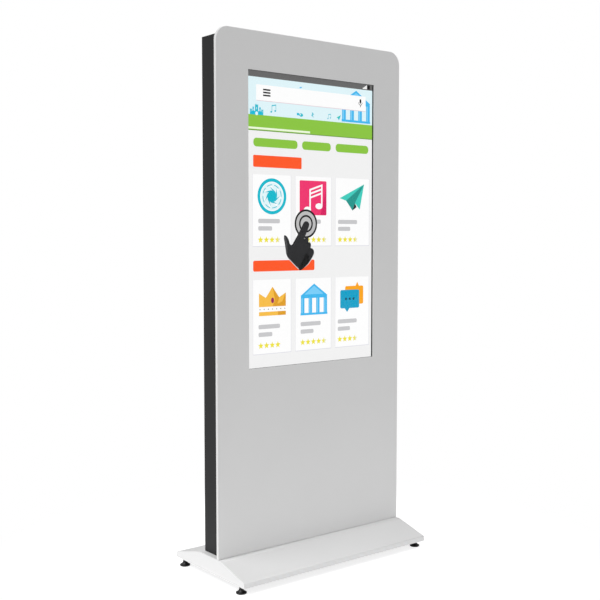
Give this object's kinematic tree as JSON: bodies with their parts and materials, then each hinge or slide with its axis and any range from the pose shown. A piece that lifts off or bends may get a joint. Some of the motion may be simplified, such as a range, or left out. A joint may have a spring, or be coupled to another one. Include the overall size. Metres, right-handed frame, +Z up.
{
  "type": "touchscreen kiosk",
  "caption": "Free-standing portrait touchscreen kiosk: folded front panel with rounded top corners, slim housing with a rear door, and a low sloped base on levelling feet.",
  "frame": {"origin": "on the floor under the middle of the base", "axes": "+X to the right of a person facing the screen, the screen faces -Y, +Z up"},
  "size_m": [0.779, 0.394, 1.7335],
  "materials": {
    "panel_white": "fine textured powder coat",
    "housing_charcoal": "satin charcoal powder coat",
    "frame_black": "matt black",
    "screen_glass": "clear toughened glass with a touch film",
    "screen_image": "lit display surface",
    "light_guide": "clear acrylic light guide and diffuser sheets",
    "gasket_foam": "closed-cell foam",
    "zinc_sheet": "zinc-plated sheet",
    "frame_steel": "satin paint on steel tube",
    "fastener_steel": "zinc-plated fasteners",
    "lock_chrome": "polished",
    "contact_brass": "plain brass",
    "board_green": "solder mask",
    "filter_foam": "open foam",
    "cable_black": "smooth sheath",
    "foot_black": "moulded nylon",
    "fan_black": "moulded",
    "case_aluminium": "anodised sheet",
    "button_grey": "moulded"
  },
  "bodies": {
    "kiosk": {"backlight_unit": "light_guide", "base_bolts": "fastener_steel", "base_cover": "panel_white", "base_ends": "panel_white", "base_nuts": "fastener_steel", "base_plate": "frame_steel", "base_risers": "frame_steel", "connection_panel": "housing_charcoal", "cross_rails": "frame_steel", "display_cable": "cable_black", "display_controller": "zinc_sheet", "display_rails": "zinc_sheet", "equipment_plate": "zinc_sheet", "fan_frames": "fan_black", "fan_plate": "zinc_sheet", "front_panel": "panel_white", "glass_gasket": "gasket_foam", "hinge_frame_leaves": "housing_charcoal", "hinge_pins": "fastener_steel", "housing_floor": "zinc_sheet", "inlet_contacts": "contact_brass", "lcd_back_cover": "zinc_sheet", "lcd_bezel": "zinc_sheet", "lcd_panel": "screen_image", "lock_strikes": "zinc_sheet", "mains_cable": "cable_black", "mains_inlet": "frame_black", "mini_pc_board": "board_green", "mini_pc_case": "case_aluminium", "network_port": "frame_black", "panel_nuts": "fastener_steel", "power_supply": "zinc_sheet", "side_panel_left": "housing_charcoal", "side_panel_right": "housing_charcoal", "switch_body": "frame_black", "terminal_block": "button_grey", "top_cover": "housing_charcoal", "touch_cable": "cable_black", "touch_controller": "fan_black", "touch_glass": "screen_glass", "upright_left": "frame_steel", "upright_right": "frame_steel", "window_frame": "frame_black"},
    "rear_door": {"rear_door": "housing_charcoal", "door_stiffeners": "zinc_sheet", "intake_filter": "filter_foam", "hinge_door_leaves": "housing_charcoal", "lock_barrels": "lock_chrome"},
    "lock_lower": {"lock_plug_lower": "lock_chrome", "lock_cam_lower": "fastener_steel"},
    "lock_upper": {"lock_plug_upper": "lock_chrome", "lock_cam_upper": "fastener_steel"},
    "fan_left": {"fan_rotor_left": "fan_black"},
    "fan_right": {"fan_rotor_right": "fan_black"},
    "rocker": {"switch_rocker": "frame_black"},
    "pc_button": {"pc_button": "button_grey"},
    "foot_front_left": {"foot_front_left": "foot_black"},
    "foot_front_right": {"foot_front_right": "foot_black"},
    "foot_rear_left": {"foot_rear_left": "foot_black"},
    "foot_rear_right": {"foot_rear_right": "foot_black"}
  },
  "joints": [
    {"name": "door_hinge", "type": "hinge", "parent": "kiosk", "child": "rear_door", "pos_m": [0.34475, 0.0557, 0.94675], "axis": [0, 0, -1], "range_deg": [0, 110]},
    {"name": "lock_lower_turn", "type": "hinge", "parent": "rear_door", "child": "lock_lower", "pos_m": [-0.32, 0.051, 0.59675], "axis": [0, -1, 0], "range_deg": [0, 90]},
    {"name": "lock_upper_turn", "type": "hinge", "parent": "rear_door", "child": "lock_upper", "pos_m": [-0.32, 0.051, 1.29675], "axis": [0, -1, 0], "range_deg": [0, 90]},
    {"name": "fan_left_spin", "type": "hinge", "parent": "kiosk", "child": "fan_left", "pos_m": [-0.06, 0.033, 1.634], "axis": [0, 1, 0], "continuous": true},
    {"name": "fan_right_spin", "type": "hinge", "parent": "kiosk", "child": "fan_right", "pos_m": [0.06, 0.033, 1.634], "axis": [0, 1, 0], "continuous": true},
    {"name": "rocker_tilt", "type": "hinge", "parent": "kiosk", "child": "rocker", "pos_m": [0, 0.047, 0.14], "axis": [1, 0, 0], "range_deg": [0, 20]},
    {"name": "pc_button_press", "type": "slide", "parent": "kiosk", "child": "pc_button", "axis": [-1, 0, 0], "range_m": [0, 0.0012], "stiffness_N_per_m": 500},
    {"name": "foot_front_left_level", "type": "slide", "parent": "kiosk", "child": "foot_front_left", "axis": [0, 0, -1], "range_m": [0, 0.012]},
    {"name": "foot_front_right_level", "type": "slide", "parent": "kiosk", "child": "foot_front_right", "axis": [0, 0, -1], "range_m": [0, 0.012]},
    {"name": "foot_rear_left_level", "type": "slide", "parent": "kiosk", "child": "foot_rear_left", "axis": [0, 0, -1], "range_m": [0, 0.012]},
    {"name": "foot_rear_right_level", "type": "slide", "parent": "kiosk", "child": "foot_rear_right", "axis": [0, 0, -1], "range_m": [0, 0.012]}
  ]
}
